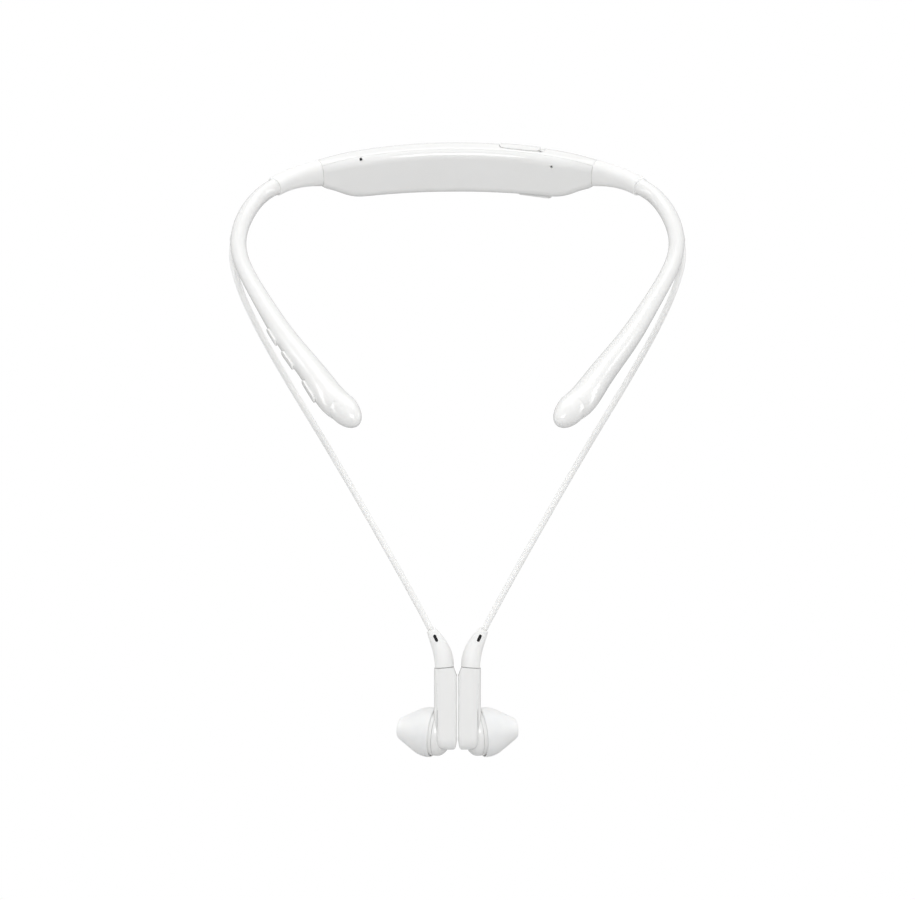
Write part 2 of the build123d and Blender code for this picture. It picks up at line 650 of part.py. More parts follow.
with BuildPart() as capsule_outside:
    with BuildSketch(CAPSULE_PLANE):
        with BuildLine():
            Line((0, -5.0), (4.1, -5.0))
            RadiusArc((4.1, -5.0), (7.3, -1.8), -3.2)
            Polyline((7.3, -1.8), (7.3, 2.0), (0, 2.0), (0, -5.0))
        make_face()
    revolve(axis=CAPSULE_TURN)

with BuildPart() as stem_shell:
    add(stem.part)
    split(bisect_by=COVER_FACE.offset(COVER_GAP), keep=Keep.TOP)
    with BuildSketch(COVER_FACE):
        with Locations((BUD_Y, ROOM_MID_Z)):
            RectangleRounded(STEM_DEPTH - 2 * STEM_WALL, 21.4, 2.4)
    extrude(amount=STEM_OUT - STEM_WALL - STEM_IN - COVER_THICK, mode=Mode.SUBTRACT)
    add(capsule_outside.part, mode=Mode.SUBTRACT)
save_pair(stem_shell.part, "stem_shell")

with BuildPart() as magnet:
    with BuildSketch(COVER_FACE.offset(COVER_GAP)):
        with Locations((BUD_Y, ROOM_MID_Z + 5)):
            RectangleRounded(4.8, 9.0, 0.5)
    extrude(amount=1.8)
save_pair(magnet.part, "magnet")

with BuildPart() as whole_boot:
    loft([boot_section(index) for index in range(len(BOOT_SECTIONS))])

VENT_FACE = Plane(
    origin=BOOT_PLANES[VENT_AT].origin, x_dir=BOOT_PLANES[VENT_AT].x_dir, z_dir=(0, -1, 0)
)

with BuildPart() as boot:
    add(whole_boot.part)
    with BuildSketch(VENT_FACE.offset(1.1)):
        SlotOverall(VENT_LENGTH, VENT_WIDTH, rotation=90)
    extrude(amount=3, mode=Mode.SUBTRACT)
save_pair(boot.part, "boot")

with BuildPart() as boot_vent:
    with BuildSketch(VENT_FACE.offset(1.1)):
        SlotOverall(VENT_LENGTH, VENT_WIDTH, rotation=90)
    extrude(amount=0.4)
save_pair(boot_vent.part, "boot_vent")
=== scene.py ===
"""White neckband earphones: the finishes, the soft pieces, the studio and the camera.

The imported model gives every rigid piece. This script dresses those pieces, and makes the ones
that bend or are soft: the sleeves, what runs through them, the cords and the ear tips. Metres
throughout: +X is the viewer's right, +Y is towards the wearer's back and +Z is up.
"""

import json
import logging
import math
from dataclasses import dataclass, field
from enum import Enum

import bmesh
import bpy
import numpy as np
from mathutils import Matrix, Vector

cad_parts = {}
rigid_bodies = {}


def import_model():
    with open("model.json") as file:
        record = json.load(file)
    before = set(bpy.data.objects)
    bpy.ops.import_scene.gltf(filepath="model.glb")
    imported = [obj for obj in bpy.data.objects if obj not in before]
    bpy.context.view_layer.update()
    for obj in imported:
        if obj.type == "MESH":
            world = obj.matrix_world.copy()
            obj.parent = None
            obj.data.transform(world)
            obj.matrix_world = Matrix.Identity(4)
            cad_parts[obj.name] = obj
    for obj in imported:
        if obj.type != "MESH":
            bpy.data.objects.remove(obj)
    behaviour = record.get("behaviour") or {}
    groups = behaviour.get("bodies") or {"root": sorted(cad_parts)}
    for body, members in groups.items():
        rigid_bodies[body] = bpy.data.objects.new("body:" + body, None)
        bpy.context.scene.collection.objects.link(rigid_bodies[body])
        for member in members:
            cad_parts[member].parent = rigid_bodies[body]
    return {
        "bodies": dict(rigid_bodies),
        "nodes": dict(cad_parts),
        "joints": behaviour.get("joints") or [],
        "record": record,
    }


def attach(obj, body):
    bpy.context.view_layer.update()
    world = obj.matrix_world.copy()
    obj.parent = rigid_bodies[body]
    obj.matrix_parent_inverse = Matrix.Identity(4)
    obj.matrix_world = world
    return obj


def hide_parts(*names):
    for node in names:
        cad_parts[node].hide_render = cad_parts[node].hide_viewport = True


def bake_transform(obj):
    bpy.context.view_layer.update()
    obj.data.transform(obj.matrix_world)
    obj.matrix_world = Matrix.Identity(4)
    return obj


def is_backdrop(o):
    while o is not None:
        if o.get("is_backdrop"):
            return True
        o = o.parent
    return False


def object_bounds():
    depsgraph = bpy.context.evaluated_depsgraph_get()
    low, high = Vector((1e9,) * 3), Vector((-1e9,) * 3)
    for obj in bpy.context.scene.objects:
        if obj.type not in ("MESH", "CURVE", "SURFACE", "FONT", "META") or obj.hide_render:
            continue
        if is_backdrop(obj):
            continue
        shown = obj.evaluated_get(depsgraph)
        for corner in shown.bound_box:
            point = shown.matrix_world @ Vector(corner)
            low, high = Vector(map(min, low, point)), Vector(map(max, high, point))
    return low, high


MM = 0.001
LOG = logging.getLogger("neckband")


class Side(Enum):
    """The two sides, as the viewer sees them; the value is the sign of their X."""

    RIGHT = 1
    LEFT = -1

    @property
    def word(self) -> str:
        """The side's name in the names of nodes and bodies."""
        return self.name.lower()


# ================= Colours and nodes =================


def linear(code: str) -> tuple[float, float, float, float]:
    """Turns an sRGB hex colour into linear light.

    Args:
        code: six hex digits, such as "F4F4F2".

    Returns:
        Red, green, blue and an alpha of 1, each from 0 to 1.
    """
    shares = (int(code[i : i + 2], 16) / 255 for i in (0, 2, 4))
    red, green, blue = (
        share / 12.92 if share <= 0.04045 else ((share + 0.055) / 1.055) ** 2.4
        for share in shares
    )
    return red, green, blue, 1.0


def add_node(
    tree: bpy.types.NodeTree, kind: str, inputs: dict | None = None, **settings: object
) -> bpy.types.Node:
    """Adds a node with its settings, and fills or links its inputs.

    Args:
        tree: the node tree that it joins.
        kind: the node's type name, without "ShaderNode".
        inputs: input name or index, to a plain value or to the socket that feeds it.
        settings: the node's own attributes.

    Returns:
        The new node.
    """
    made = tree.nodes.new("ShaderNode" + kind)
    for name, value in settings.items():
        setattr(made, name, value)
    for name, value in (inputs or {}).items():
        if isinstance(value, bpy.types.NodeSocket):
            tree.links.new(value, made.inputs[name])
        else:
            made.inputs[name].default_value = value
    return made


def ramp(tree: bpy.types.NodeTree, fac: bpy.types.NodeSocket, *stops: tuple) -> bpy.types.Node:
    """Adds a colour ramp.

    Args:
        tree: the node tree that it joins.
        fac: the socket that drives it.
        stops: (place, linear colour) pairs, from low to high.

    Returns:
        The ramp's node.
    """
    made = add_node(tree, "ValToRGB", {"Fac": fac})
    elements = made.color_ramp.elements
    for index, (place, colour) in enumerate(stops):
        stop = elements[index] if index < len(elements) else elements.new(place)
        stop.position, stop.color = place, colour
    return made


# ================= Finishes =================


@dataclass(frozen=True)
class Finish:
    """A moulded, coated or plated surface with a fine relief and a slow drift of tone.

    The relief is one noise of grain_mm across and relief_mm deep; the tone and the roughness
    drift over drift_mm, as they do on real mouldings.
    """

    name: str
    colour: str
    second: str
    roughness: float
    roughness_drift: float = 0.04
    metallic: float = 0.0
    ior: float = 1.5
    grain_mm: float = 1.2
    relief_mm: float = 0.004
    drift_mm: float = 30.0
    subsurface: float = 0.0
    coat: float = 0.0
    sheen: float = 0.0
    stretch: tuple[float, float, float] = (1.0, 1.0, 1.0)

    def start(self) -> tuple[bpy.types.Material, bpy.types.NodeTree, bpy.types.NodeSocket]:
        """Makes the empty material, with the object's own coordinates ready to use."""
        material = bpy.data.materials.new(self.name)
        material.use_nodes = True
        tree = material.node_tree
        tree.nodes.clear()
        place = add_node(tree, "TexCoord")
        mapping = add_node(tree, "Mapping", {"Vector": place.outputs["Object"]})
        mapping.inputs["Scale"].default_value = self.stretch
        return material, tree, mapping.outputs["Vector"]

    def tone(self, tree: bpy.types.NodeTree, place: bpy.types.NodeSocket) -> bpy.types.NodeSocket:
        """The base colour: a slow drift between the two near colours."""
        drift = add_node(
            tree, "TexNoise", {"Vector": place, "Scale": 1 / (self.drift_mm * MM), "Detail": 2.0}
        )
        stops = (0.35, linear(self.colour)), (0.7, linear(self.second))
        return ramp(tree, drift.outputs["Fac"], *stops).outputs["Color"]

    def gloss(self, tree: bpy.types.NodeTree, place: bpy.types.NodeSocket) -> bpy.types.NodeSocket:
        """The roughness: rubbed a little smoother and duller from place to place."""
        rub = add_node(
            tree,
            "TexNoise",
            {"Vector": place, "Scale": 1 / (self.drift_mm * MM / 3), "Detail": 4.0},
        )
        low, high = self.roughness - self.roughness_drift, self.roughness + self.roughness_drift
        spread = add_node(
            tree, "MapRange", {"Value": rub.outputs["Fac"], "To Min": low, "To Max": high}
        )
        return spread.outputs["Result"]

    def height(self, tree: bpy.types.NodeTree, place: bpy.types.NodeSocket) -> bpy.types.NodeSocket:
        """The fine relief that the light catches."""
        grain = add_node(
            tree, "TexNoise", {"Vector": place, "Scale": 1 / (self.grain_mm * MM), "Detail": 3.0}
        )
        return grain.outputs["Fac"]

    def build(self) -> bpy.types.Material:
        """Makes the material.

        Returns:
            The finished material.
        """
        material, tree, place = self.start()
        bump = add_node(
            tree,
            "Bump",
            {"Height": self.height(tree, place), "Distance": self.relief_mm * MM, "Strength": 1.0},
        )
        shader = add_node(
            tree,
            "BsdfPrincipled",
            {
                "Base Color": self.tone(tree, place),
                "Roughness": self.gloss(tree, place),
                "Normal": bump.outputs["Normal"],
                "Metallic": self.metallic,
                "IOR": self.ior,
                "Subsurface Weight": self.subsurface,
                "Subsurface Radius": (1.0, 0.9, 0.8),
                "Subsurface Scale": 1.2 * MM,
                "Coat Weight": self.coat,
                "Coat Roughness": 0.08,
                "Sheen Weight": self.sheen,
                "Sheen Roughness": 0.5,
            },
        )
        add_node(tree, "OutputMaterial", {"Surface": shader.outputs["BSDF"]})
        return material


@dataclass(frozen=True)
class WovenMesh(Finish):
    """Black etched or woven mesh: round holes on a close grid, sunk, and painted nearly black as
    shade.
    """

    hole_mm: float = 0.22

    def height(self, tree: bpy.types.NodeTree, place: bpy.types.NodeSocket) -> bpy.types.NodeSocket:
        """Distance from the nearest hole's middle, cut off at the hole's edge."""
        holes = add_node(
            tree,
            "TexVoronoi",
            {"Vector": place, "Scale": 1 / (self.hole_mm * MM), "Randomness": 0.0},
        )
        stops = (0.25, (0.0, 0.0, 0.0, 1.0)), (0.4, (1.0, 1.0, 1.0, 1.0))
        return ramp(tree, holes.outputs["Distance"], *stops).outputs["Color"]

    def tone(self, tree: bpy.types.NodeTree, place: bpy.types.NodeSocket) -> bpy.types.NodeSocket:
        """Painted shade: nearly black in the holes, and the wire's own grey between them."""
        stops = (0.2, linear(self.second)), (0.8, linear(self.colour))
        return ramp(tree, self.height(tree, place), *stops).outputs["Color"]


@dataclass(frozen=True)
class PrintedBoard(Finish):
    """Green solder mask over copper tracks: straight cells whose edges show a lighter track."""

    track_mm: float = 1.1

    def height(self, tree: bpy.types.NodeTree, place: bpy.types.NodeSocket) -> bpy.types.NodeSocket:
        """Square cells by city-block distance, whose borders are the tracks."""
        cells = add_node(
            tree,
            "TexVoronoi",
            {"Vector": place, "Scale": 1 / (self.track_mm * MM), "Randomness": 0.7},
            distance="MANHATTAN",
        )
        stops = (0.42, (0.0, 0.0, 0.0, 1.0)), (0.5, (1.0, 1.0, 1.0, 1.0))
        return ramp(tree, cells.outputs["Distance"], *stops).outputs["Color"]

    def tone(self, tree: bpy.types.NodeTree, place: bpy.types.NodeSocket) -> bpy.types.NodeSocket:
        """The mask's green, lighter where it lies over a track."""
        stops = (0.3, linear(self.colour)), (0.7, linear(self.second))
        return ramp(tree, self.height(tree, place), *stops).outputs["Color"]


FINISHES = {
    # polished injection-moulded ABS: a hard clear gloss with a trace of orange peel
    "white_plastic": Finish(
        "polished white ABS", "F2F2F1", "EFEFEE", 0.17, 0.03, ior=1.54, grain_mm=2.2,
        relief_mm=0.0035, subsurface=0.06, coat=0.25,
    ),
    # spark-eroded thermoplastic rubber: satin, with a skin-like grain that softens highlights
    "white_rubber": Finish(
        "satin white rubber", "F6F6F5", "F1F1F0", 0.48, 0.05, ior=1.47, grain_mm=0.35,
        relief_mm=0.006, drift_mm=12.0, subsurface=0.08, sheen=0.08,
    ),
    # liquid silicone rubber: soft, faintly translucent, with a dry skin
    "silicone": Finish(
        "translucent silicone", "FAFAF9", "F4F4F3", 0.36, 0.05, ior=1.42, grain_mm=0.5,
        relief_mm=0.006, drift_mm=9.0, subsurface=0.35, sheen=0.12,
    ),
    # extruded elastomer jacket: satin, with the slight ripple of the extruder along it
    "cord_jacket": Finish(
        "extruded white jacket", "F8F8F7", "F3F3F2", 0.38, 0.05, ior=1.48, grain_mm=1.5,
        relief_mm=0.0015, drift_mm=8.0, subsurface=0.06,
    ),
    # cold-rolled spring steel: fine rolling lines along the strip
    "spring_steel": Finish(
        "rolled spring steel", "B9BCC0", "A3A6AA", 0.28, 0.06, metallic=1.0, grain_mm=0.3,
        relief_mm=0.004, drift_mm=10.0, stretch=(0.2, 1.0, 1.0),
    ),
    # nickel plate on stamped steel: bright, with faint handling marks
    "plated_steel": Finish(
        "nickel-plated steel", "C9C6BF", "B5B2AA", 0.22, 0.06, metallic=1.0, grain_mm=0.5,
        relief_mm=0.003, drift_mm=6.0,
    ),
    "magnet_nickel": Finish(
        "nickel-plated magnet", "CFCCC4", "BDBAB2", 0.16, 0.05, metallic=1.0, grain_mm=0.8,
        relief_mm=0.002, drift_mm=5.0,
    ),
    # black woven mesh: round holes, deeper than its wires; the second colour is painted shade in
    # them
    "dark_mesh": WovenMesh(
        "black woven mesh", "2A2A2C", "050506", 0.42, 0.05, metallic=0.6, relief_mm=0.05,
    ),
    # glass-epoxy board under green solder mask
    "circuit_board": PrintedBoard(
        "green solder mask", "0F4A2A", "2C7A4A", 0.3, 0.05, relief_mm=0.02, drift_mm=10.0,
    ),
    # glass-filled nylon: dull, dark and slightly mottled
    "black_plastic": Finish(
        "black moulded nylon", "1B1B1D", "232326", 0.5, 0.06, grain_mm=0.4, relief_mm=0.01,
        drift_mm=5.0,
    ),
    # aluminium laminate pouch: soft metallic, with shallow wrinkles
    "battery_foil": Finish(
        "aluminium laminate", "C7CACF", "AEB1B6", 0.34, 0.08, metallic=0.9, grain_mm=3.0,
        relief_mm=0.08, drift_mm=7.0,
    ),
    # PVC insulation on stranded wire
    "wire_insulation": Finish(
        "red wire insulation", "8E2A22", "7A211B", 0.4, 0.05, grain_mm=0.6, relief_mm=0.008,
        drift_mm=6.0,
    ),
}


# ================= Surfaces =================


def new_piece(name: str, parts: list[tuple[np.ndarray, bool]]) -> bpy.types.Object:
    """Makes one object from grids of points, each closed round its columns.

    Row i and column j of a grid is one point; neighbours in both directions share a quad. A row
    that has shrunk to a point is merged, which closes a pole.

    Args:
        name: the piece's name.
        parts: (grid of rows by columns by 3, whether its last row joins its first) pairs.

    Returns:
        The new object, smooth and with its faces pointing outwards.
    """
    points, quads, first = [], [], 0
    for grid, joined in parts:
        rows, columns = grid.shape[:2]
        index = first + np.arange(rows * columns).reshape(rows, columns)
        lower = index if joined else index[:-1]
        upper = np.roll(index, -1, axis=0) if joined else index[1:]
        corners = (lower, np.roll(lower, -1, axis=1), np.roll(upper, -1, axis=1), upper)
        quads.append(np.stack(corners, axis=-1).reshape(-1, 4))
        points.append(grid.reshape(-1, 3))
        first += rows * columns
    mesh = bpy.data.meshes.new(name)
    mesh.from_pydata(np.concatenate(points).tolist(), [], np.concatenate(quads).tolist())
    worked = bmesh.new()
    worked.from_mesh(mesh)
    bmesh.ops.remove_doubles(worked, verts=worked.verts, dist=0.002 * MM)
    bmesh.ops.recalc_face_normals(worked, faces=worked.faces)
    worked.to_mesh(mesh)
    worked.free()
    mesh.polygons.foreach_set("use_smooth", np.ones(len(mesh.polygons), bool))
    piece = bpy.data.objects.new(name, mesh)
    bpy.context.scene.collection.objects.link(piece)
    return piece


def dress(piece: bpy.types.Object, slot: str, materials: dict[str, bpy.types.Material]) -> None:
    """Gives a new piece the finish of one of the record's slots."""
    piece.data.materials.clear()
    piece.data.materials.append(materials[slot])


def catmull_rom(points: np.ndarray, per_span: int) -> np.ndarray:
    """The closed smooth curve through some points.

    Each span is the Catmull-Rom cubic, whose slope at a point is half the step between that
    point's two neighbours.

    Args:
        points: the points in order, one row each.
        per_span: how many points to give each span.

    Returns:
        The curve's points, without the first repeated at the end.
    """
    t = np.linspace(0, 1, per_span, endpoint=False)[None, :, None]
    before, here, after, beyond = (np.roll(points, k, axis=0)[:, None] for k in (1, 0, -1, -2))
    curve = 0.5 * (
        2 * here
        + (after - before) * t
        + (2 * before - 5 * here + 4 * after - beyond) * t**2
        + (3 * here - before - 3 * after + beyond) * t**3
    )
    return curve.reshape(-1, points.shape[1])


def rings_along(line: np.ndarray, radius: np.ndarray, sides: int) -> np.ndarray:
    """A round tube's grid: a ring about each point of a line, square to the line there.

    Args:
        line: the line's points, one row each.
        radius: the tube's radius at each point.
        sides: how many points to give each ring.

    Returns:
        Rows by sides by 3 points.
    """
    along = np.gradient(line, axis=0)
    along /= np.linalg.norm(along, axis=1)[:, None]
    across = np.cross(along, (0.0, 1.0, 0.2))
    across /= np.linalg.norm(across, axis=1)[:, None]
    other = np.cross(along, across)
    angle = np.linspace(0, 2 * math.pi, sides, endpoint=False)
    turn = (
        np.cos(angle)[None, :, None] * across[:, None]
        + np.sin(angle)[None, :, None] * other[:, None]
    )
    return line[:, None] + radius[:, None, None] * turn


# ================= The band =================


@dataclass(frozen=True)
class Band:
    """The band's centreline: arcs from the nape to an arm's tip, sloped down to the front."""

    radii: tuple[float, ...] = (107 * MM, 38 * MM, 62 * MM, 430 * MM)
    headings: tuple[float, ...] = (0.0, 27.5, 72.0, 108.0, 122.0)
    behind_nape: float = 4.25 * MM
    slope: float = 36.0

    def worn(self, flat: np.ndarray) -> np.ndarray:
        """Turns points or directions of the flat band about X, down to its slope."""
        c, s = math.cos(math.radians(self.slope)), math.sin(math.radians(self.slope))
        x, y, z = flat[..., 0], flat[..., 1], flat[..., 2]
        return np.stack([x, y * c - z * s, y * s + z * c], axis=-1)

    def frames(self, s: np.ndarray, side: Side) -> tuple[np.ndarray, np.ndarray, np.ndarray]:
        """Where the centreline is, and which way is outwards and upwards there.

        Each arc adds radius times the change of the heading's sine to X, and of its cosine to Y.

        Args:
            s: distances from the nape.
            side: which side of the band.

        Returns:
            Points, outward directions and upward directions, one row for each distance.
        """
        x, y, heading = np.zeros_like(s), np.full_like(s, self.behind_nape), np.zeros_like(s)
        left = s.copy()
        for radius, low, high in zip(self.radii, self.headings, self.headings[1:]):
            step = np.clip(left, 0, radius * math.radians(high - low))
            x += radius * (np.sin(heading + step / radius) - np.sin(heading))
            y += radius * (np.cos(heading + step / radius) - np.cos(heading))
            heading = heading + step / radius
            left = left - step
        flat = np.stack([side.value * x, y, np.zeros_like(x)], axis=-1)
        out = np.stack([side.value * np.sin(heading), np.cos(heading), np.zeros_like(x)], axis=-1)
        up = np.zeros_like(flat)
        up[:, 2] = 1.0
        return self.worn(flat), self.worn(out), self.worn(up)

    def spot(self, s: float, side: Side) -> list[float]:
        """One point of the centreline."""
        return self.frames(np.array([s]), side)[0][0].tolist()

    def swept(
        self, s: np.ndarray, side: Side, out: np.ndarray, up: np.ndarray
    ) -> np.ndarray:
        """Carries a section along the band.

        A grid point is the centreline's, plus out times the outward direction and up times the
        upward one.

        Args:
            s: each row's distance from the nape.
            side: which side of the band.
            out: rows by columns, how far outwards each point lies.
            up: rows by columns, how far up each point lies.

        Returns:
            Rows by columns by 3 points.
        """
        centre, outward, upward = self.frames(s, side)
        return centre[:, None] + out[..., None] * outward[:, None] + up[..., None] * upward[:, None]


BAND = Band()


@dataclass
class Sleeve:
    """The soft sleeve from the housing to an arm, with the strip and the wires inside it."""

    side: Side
    start: float = 48.0 * MM
    length: float = 18.6 * MM
    widths: tuple[float, float] = (6.4 * MM, 6.1 * MM)
    heights: tuple[float, float] = (9.2 * MM, 6.1 * MM)
    raised: float = -1.1 * MM  # the middle of the taller end, from the centreline
    wall: float = 1.3 * MM
    edge: float = 0.32 * MM
    strip_ends: tuple[float, float] = (43.0 * MM, 70.6 * MM)
    strip: tuple[float, float] = (1.0 * MM, 3.0 * MM)
    section_power: float = 2.6  # 2 is an ellipse, and more is squarer
    bar_power: float = 0.35  # a sine or cosine to this power gives the strip its near-square edge
    wire_out: float = 1.1 * MM
    loom_radius: float = 0.4 * MM
    loom_lay: float = 7.0 * MM  # one turn of the wires' twist
    loom_ends: dict = field(
        default_factory=lambda: {Side.RIGHT: 90.5 * MM, Side.LEFT: 155.6 * MM}
    )

    def bent(self, piece: bpy.types.Object, node: str) -> None:
        """Hides the plain solid that a piece stands for, and bakes the piece's transform into its
        mesh.
        """
        ends = (BAND.spot(s, self.side) for s in (self.start, self.start + self.length))
        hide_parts(f"{node}_{self.side.word}")
        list(ends)
        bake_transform(piece)

    def cover(self) -> bpy.types.Object:
        """The sleeve itself: one closed skin, outside, round the edges and back inside.

        Its section is a superellipse of section_power, whose half sizes run from the housing's end
        to the arm's, quickly at first and then evening out, less the inset at each row.
        """
        turn = np.linspace(0, math.pi / 2, 7)
        rise, fall = self.edge * (1 - np.cos(turn)), self.edge * (1 - np.sin(turn))
        body = np.linspace(self.edge, self.length - self.edge, 61)[1:-1]
        inner = np.linspace(self.length, 0, 31)[1:-1]
        s = np.concatenate([[0.0], rise, body, self.length - fall, [self.length], inner])
        inset = np.concatenate(
            [[self.wall], fall, 0 * body, rise, [self.wall], 0 * inner + self.wall]
        )
        share = 1 - (1 - s / self.length) ** 2
        half_width = (self.widths[0] + (self.widths[1] - self.widths[0]) * share) / 2 - inset
        half_height = (self.heights[0] + (self.heights[1] - self.heights[0]) * share) / 2 - inset
        angle = np.linspace(0, 2 * math.pi, 96, endpoint=False)
        x = np.sign(np.cos(angle)) * np.abs(np.cos(angle)) ** (2 / self.section_power)
        z = np.sign(np.sin(angle)) * np.abs(np.sin(angle)) ** (2 / self.section_power)
        out = half_width[:, None] * x
        up = half_height[:, None] * z + (self.raised * (1 - share))[:, None]
        grid = BAND.swept(self.start + s, self.side, out, up)
        piece = new_piece(f"sleeve_skin_{self.side.word}", [(grid, True)])
        self.bent(piece, "flex_sleeve")
        return piece

    def spring(self) -> bpy.types.Object:
        """The strip: a flat bar with rounded edges, closed at both ends."""
        first, last = self.strip_ends
        s = np.concatenate([[first], np.linspace(first, last, 58), [last]])
        angle = np.linspace(0, 2 * math.pi, 32, endpoint=False)
        x = np.sign(np.cos(angle)) * np.abs(np.cos(angle)) ** self.bar_power
        z = np.sign(np.sin(angle)) * np.abs(np.sin(angle)) ** self.bar_power
        size = np.concatenate([[0.0], np.ones(58), [0.0]])[:, None]
        grid = BAND.swept(s, self.side, size * x * self.strip[0] / 2, size * z * self.strip[1] / 2)
        piece = new_piece(f"spring_bar_{self.side.word}", [(grid, False)])
        self.bent(piece, "spring_strip")
        return piece

    def wires(self) -> bpy.types.Object:
        """The loom: three insulated wires laid together in a slow twist."""
        first, last = self.strip_ends[0], self.loom_ends[self.side]
        s = np.concatenate([[first], np.linspace(first, last, 358), [last]])
        angle = np.linspace(0, 2 * math.pi, 12, endpoint=False)
        size = np.ones_like(s)
        size[[0, -1]] = 0.0
        parts = []
        for third in range(3):
            lay = 2 * math.pi * (third / 3 + s / self.loom_lay)
            wire, lift = 0.46 * self.loom_radius, 0.54 * self.loom_radius
            out = self.wire_out + lift * np.cos(lay)[:, None] + size[:, None] * wire * np.cos(angle)
            up = lift * np.sin(lay)[:, None] + size[:, None] * wire * np.sin(angle)
            parts.append((BAND.swept(s, self.side, out, up), False))
        piece = new_piece(f"wires_{self.side.word}", parts)
        self.bent(piece, "wire_loom")
        return piece

    def build(self, materials: dict[str, bpy.types.Material]) -> None:
        """Makes and dresses the sleeve and what is in it."""
        dress(self.cover(), "white_rubber", materials)
        dress(self.spring(), "spring_steel", materials)
        dress(self.wires(), "wire_insulation", materials)
        LOG.info("sleeve, strip and wires: %s", self.side.word)


# ================= Cords =================


@dataclass
class Cord:
    """The free cord from an arm's gland down to the earbud's boot."""

    side: Side
    diameter: float = 2.0 * MM
    length: float = 148.0 * MM
    bend_over: float = 60.0 * MM
    sides: int = 28
    route: tuple[tuple[float, float, float], ...] = (
        (73.06, -35.11, -29.71),
        (73.38, -40.34, -33.51),
        (72.3, -45.6, -39.6),
        (69.4, -49.1, -47.8),
        (65.7, -50.4, -55.8),
        (60.8, -50.9, -65.0),
        (52.9, -51.0, -78.6),
        (39.6, -50.8, -100.4),
        (24.2, -50.5, -127.2),
        (13.8, -50.1, -145.8),
        (8.524, -50.0, -155.756),
    )

    def centreline(self) -> np.ndarray:
        """The smooth line that the route's points steer, from the gland to the boot."""
        curve = bpy.data.curves.new("cord_route", "CURVE")
        curve.dimensions = "3D"
        curve.resolution_u = 24
        spline = curve.splines.new("NURBS")
        spline.points.add(len(self.route) - 1)
        for point, (x, y, z) in zip(spline.points, self.route):
            point.co = (self.side.value * x * MM, y * MM, z * MM, 1.0)
        spline.order_u = 3
        spline.use_endpoint_u = True
        bare = bpy.data.objects.new("cord_route", curve)
        mesh = bpy.data.meshes.new_from_object(bare)
        line = np.array([v.co for v in mesh.vertices], float)
        bpy.data.meshes.remove(mesh)
        bpy.data.objects.remove(bare)
        bpy.data.curves.remove(curve)
        return line

    def build(self, materials: dict[str, bpy.types.Material]) -> None:
        """Makes the cord as a round tube that bends softly where it leaves its gland."""
        line = self.centreline()
        rings = rings_along(line, np.full(len(line), self.diameter / 2), self.sides)
        poles = [np.repeat(line[end][None, None], self.sides, axis=1) for end in (0, -1)]
        grid = np.concatenate([poles[0], rings, poles[1]])
        name = self.side.word
        piece = new_piece(f"cord_jacket_{name}", [(grid, False)])
        dress(piece, "cord_jacket", materials)
        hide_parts(f"cord_{name}")
        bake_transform(piece)
        LOG.info("cord: %s, %.1f mm", name, 1000 * self.length)


# ================= Ear tips =================


@dataclass
class EarTip:
    """The soft tip on a capsule's nozzle: a thin dome that curls back from a thicker core."""

    side: Side
    rim: tuple[float, float, float] = (7.8 * MM, -45.3 * MM, -189.3 * MM)
    back: float = 15.0
    up: float = 6.0
    segments: int = 112
    outline: tuple[tuple[float, float], ...] = (
        (7.62, 0.06), (7.76, -0.12), (7.93, 0.04), (8.02, 0.8), (8.0, 1.8), (7.78, 3.1),
        (7.2, 4.7), (6.3, 6.3), (5.35, 7.9), (4.45, 9.4), (3.75, 10.6), (3.2, 11.3),
        (2.65, 11.62), (2.15, 11.5), (1.95, 11.1), (1.9, 10.4), (1.98, 9.92), (2.68, 9.86),
        (2.72, 8.4), (2.74, 6.9), (2.95, 6.6), (3.35, 6.62), (3.52, 7.2), (3.56, 8.4),
        (3.75, 8.85), (4.1, 8.65), (4.9, 7.4), (5.8, 6.0), (6.7, 4.4), (7.3, 2.9), (7.58, 1.4),
    )  # distance from the axis and along it, in millimetres

    def build(self, materials: dict[str, bpy.types.Material]) -> None:
        """Turns the outline about the nozzle's axis; a point is rim + along * axis + r * round."""
        back, up = math.radians(self.back), math.radians(self.up)
        axis = np.array(
            [math.cos(back) * math.cos(up), math.sin(back) * math.cos(up), math.sin(up)]
        )
        across = np.cross(axis, (0.0, 0.0, 1.0))
        across /= np.linalg.norm(across)
        other = np.cross(axis, across)
        curve = catmull_rom(np.array(self.outline) * MM, 5)
        angle = np.linspace(0, 2 * math.pi, self.segments, endpoint=False)
        turn = np.cos(angle)[:, None] * across + np.sin(angle)[:, None] * other
        grid = np.array(self.rim) + curve[:, None, 1:] * axis + curve[:, None, :1] * turn[None]
        grid[..., 0] *= self.side.value
        name = self.side.word
        piece = new_piece(f"silicone_tip_{name}", [(grid, True)])
        dress(piece, "silicone", materials)
        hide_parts(f"ear_tip_{name}")
        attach(piece, f"tip_{name}")
        LOG.info("ear tip: %s", name)


# ================= Rigid pieces =================


@dataclass
class RigidPieces:
    """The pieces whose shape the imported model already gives; they only need their finish."""

    frame: dict

    def dress(self, materials: dict[str, bpy.types.Material]) -> None:
        """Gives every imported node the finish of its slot."""
        slots = {row["node"]: row["material_slot"] for row in self.frame["record"]["subparts"]}
        for name, node in self.frame["nodes"].items():
            node.data.materials.clear()
            node.data.materials.append(materials[slots[name]])
            LOG.info("finish: %s, %s", name, slots[name])


# ================= Studio =================


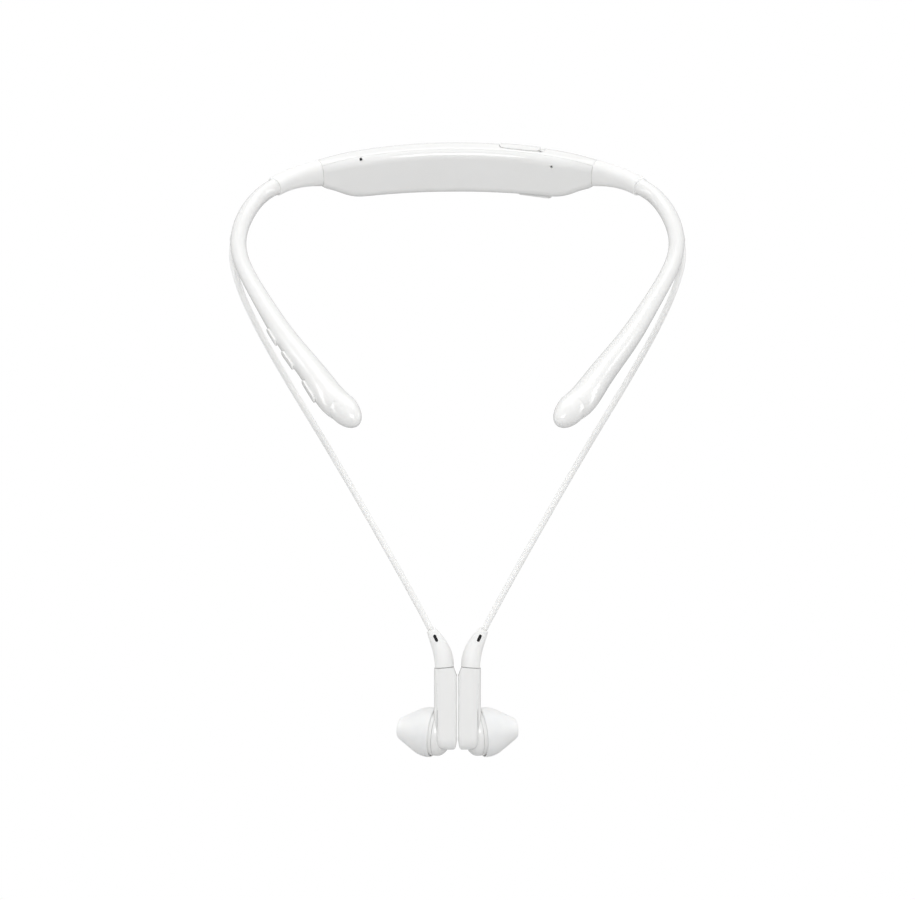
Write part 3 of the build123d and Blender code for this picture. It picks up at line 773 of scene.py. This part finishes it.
@dataclass
class Studio:
    """A pale floor, a white surround and soft lights: one overhead, two at the sides, one fill."""

    eye: tuple[float, float, float] = (0.0, -0.940, -0.0981)
    lens: float = 109.06
    sensor: float = 36.0
    floor_drop: float = 0.06
    floor_radius: float = 6.0
    floor_colour: str = "C8C8C8"
    surround_strength: float = 0.98
    surround_stops: tuple[tuple[float, str], ...] = (
        (0.0, "909090"), (0.45, "B0B0B0"), (0.62, "CACACA"), (1.0, "D8D8D8"),
    )  # from straight below to straight above

    def camera(self) -> None:
        """Sets the camera level with the middle of the object and looks along +Y."""
        data = bpy.data.cameras.new("camera")
        data.lens, data.sensor_width = self.lens, self.sensor
        data.clip_start, data.clip_end = 0.01, 50.0
        made = bpy.data.objects.new("camera", data)
        made.location, made.rotation_euler = self.eye, (math.pi / 2, 0.0, 0.0)
        bpy.context.scene.collection.objects.link(made)
        bpy.context.scene.camera = made

    def floor(self, lowest: float) -> None:
        """A wide round floor below the object, which hangs clear of it."""
        radii = np.linspace(0, self.floor_radius, 6)
        angle = np.linspace(0, 2 * math.pi, 64, endpoint=False)
        flat = np.stack(
            [
                radii[:, None] * np.cos(angle),
                radii[:, None] * np.sin(angle),
                np.full((6, 64), lowest - self.floor_drop),
            ],
            axis=-1,
        )
        piece = new_piece("studio_floor", [(flat, False)])
        material = bpy.data.materials.new("pale painted floor")
        material.use_nodes = True
        tree = material.node_tree
        tree.nodes.clear()
        lit = add_node(tree, "BsdfDiffuse", {"Color": linear(self.floor_colour)})
        glow = add_node(tree, "Emission", {"Color": linear("FFFFFF"), "Strength": 1.0})
        path = add_node(tree, "LightPath")
        mixed = add_node(
            tree,
            "MixShader",
            {0: path.outputs["Is Camera Ray"], 1: lit.outputs[0], 2: glow.outputs[0]},
        )
        add_node(tree, "OutputMaterial", {"Surface": mixed.outputs[0]})
        piece.data.materials.append(material)
        piece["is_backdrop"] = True

    def surround(self) -> None:
        """White to the eye, and for lighting brighter above than below."""
        world = bpy.data.worlds.new("surround")
        bpy.context.scene.world = world
        world.use_nodes = True
        tree = world.node_tree
        tree.nodes.clear()
        ray = add_node(tree, "TexCoord")
        split = add_node(tree, "SeparateXYZ", {"Vector": ray.outputs["Generated"]})
        level = add_node(
            tree, "MapRange", {"Value": split.outputs["Z"], "From Min": -1.0, "From Max": 1.0}
        )
        stops = ((place, linear(code)) for place, code in self.surround_stops)
        shade = ramp(tree, level.outputs["Result"], *stops)
        seen = add_node(tree, "Background", {"Color": linear("FFFFFF"), "Strength": 1.0})
        lighting = add_node(
            tree,
            "Background",
            {"Color": shade.outputs["Color"], "Strength": self.surround_strength},
        )
        path = add_node(tree, "LightPath")
        mixed = add_node(
            tree,
            "MixShader",
            {0: path.outputs["Is Camera Ray"], 1: lighting.outputs[0], 2: seen.outputs[0]},
        )
        add_node(tree, "OutputWorld", {"Surface": mixed.outputs[0]})

    def light(
        self, name: str, place: tuple, target: tuple, size: tuple[float, float], power: float
    ) -> None:
        """Adds one soft rectangular light.

        Args:
            name: the light's name.
            place: where it stands.
            target: the point that it faces.
            size: its width and height.
            power: its power in watts.
        """
        data = bpy.data.lights.new(name, "AREA")
        data.shape, data.size, data.size_y, data.energy = "RECTANGLE", *size, power
        made = bpy.data.objects.new(name, data)
        made.location = place
        away = np.array(place) - np.array(target)
        flat = math.hypot(away[0], away[1])
        made.rotation_euler = (
            math.atan2(flat, away[2]), 0.0, math.atan2(away[0], -away[1]) if flat > 1e-6 else 0.0
        )
        bpy.context.scene.collection.objects.link(made)

    def build(self, lowest: float) -> None:
        """Sets up the whole studio.

        Args:
            lowest: the height of the object's lowest point.
        """
        bpy.context.scene.view_settings.view_transform = "Standard"
        self.camera()
        self.floor(lowest)
        self.surround()
        middle = (0.0, -0.05, -0.09)
        self.light("overhead", (0.0, -0.10, 0.75), (0.0, -0.05, -0.05), (1.1, 0.7), 2.2)
        self.light("front_fill", (0.0, -1.5, 0.25), middle, (0.9, 0.5), 8.5)
        self.light("side_right", (1.1, 0.1, 0.15), middle, (0.25, 0.9), 2.0)
        self.light("side_left", (-1.1, 0.1, 0.15), middle, (0.25, 0.9), 2.0)
        LOG.info("studio: camera, floor, surround and four lights")


def main() -> None:
    """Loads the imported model, dresses it, adds the soft pieces and sets up the studio."""
    logging.basicConfig(level=logging.INFO, format="%(name)s: %(message)s")
    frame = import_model()
    model_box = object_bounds()
    Studio().build(model_box[0].z)
    materials = {slot: finish.build() for slot, finish in FINISHES.items()}
    RigidPieces(frame).dress(materials)
    for side in Side:
        Cord(side).build(materials)
        Sleeve(side).build(materials)
        EarTip(side).build(materials)


if __name__ == "__main__":
    main()
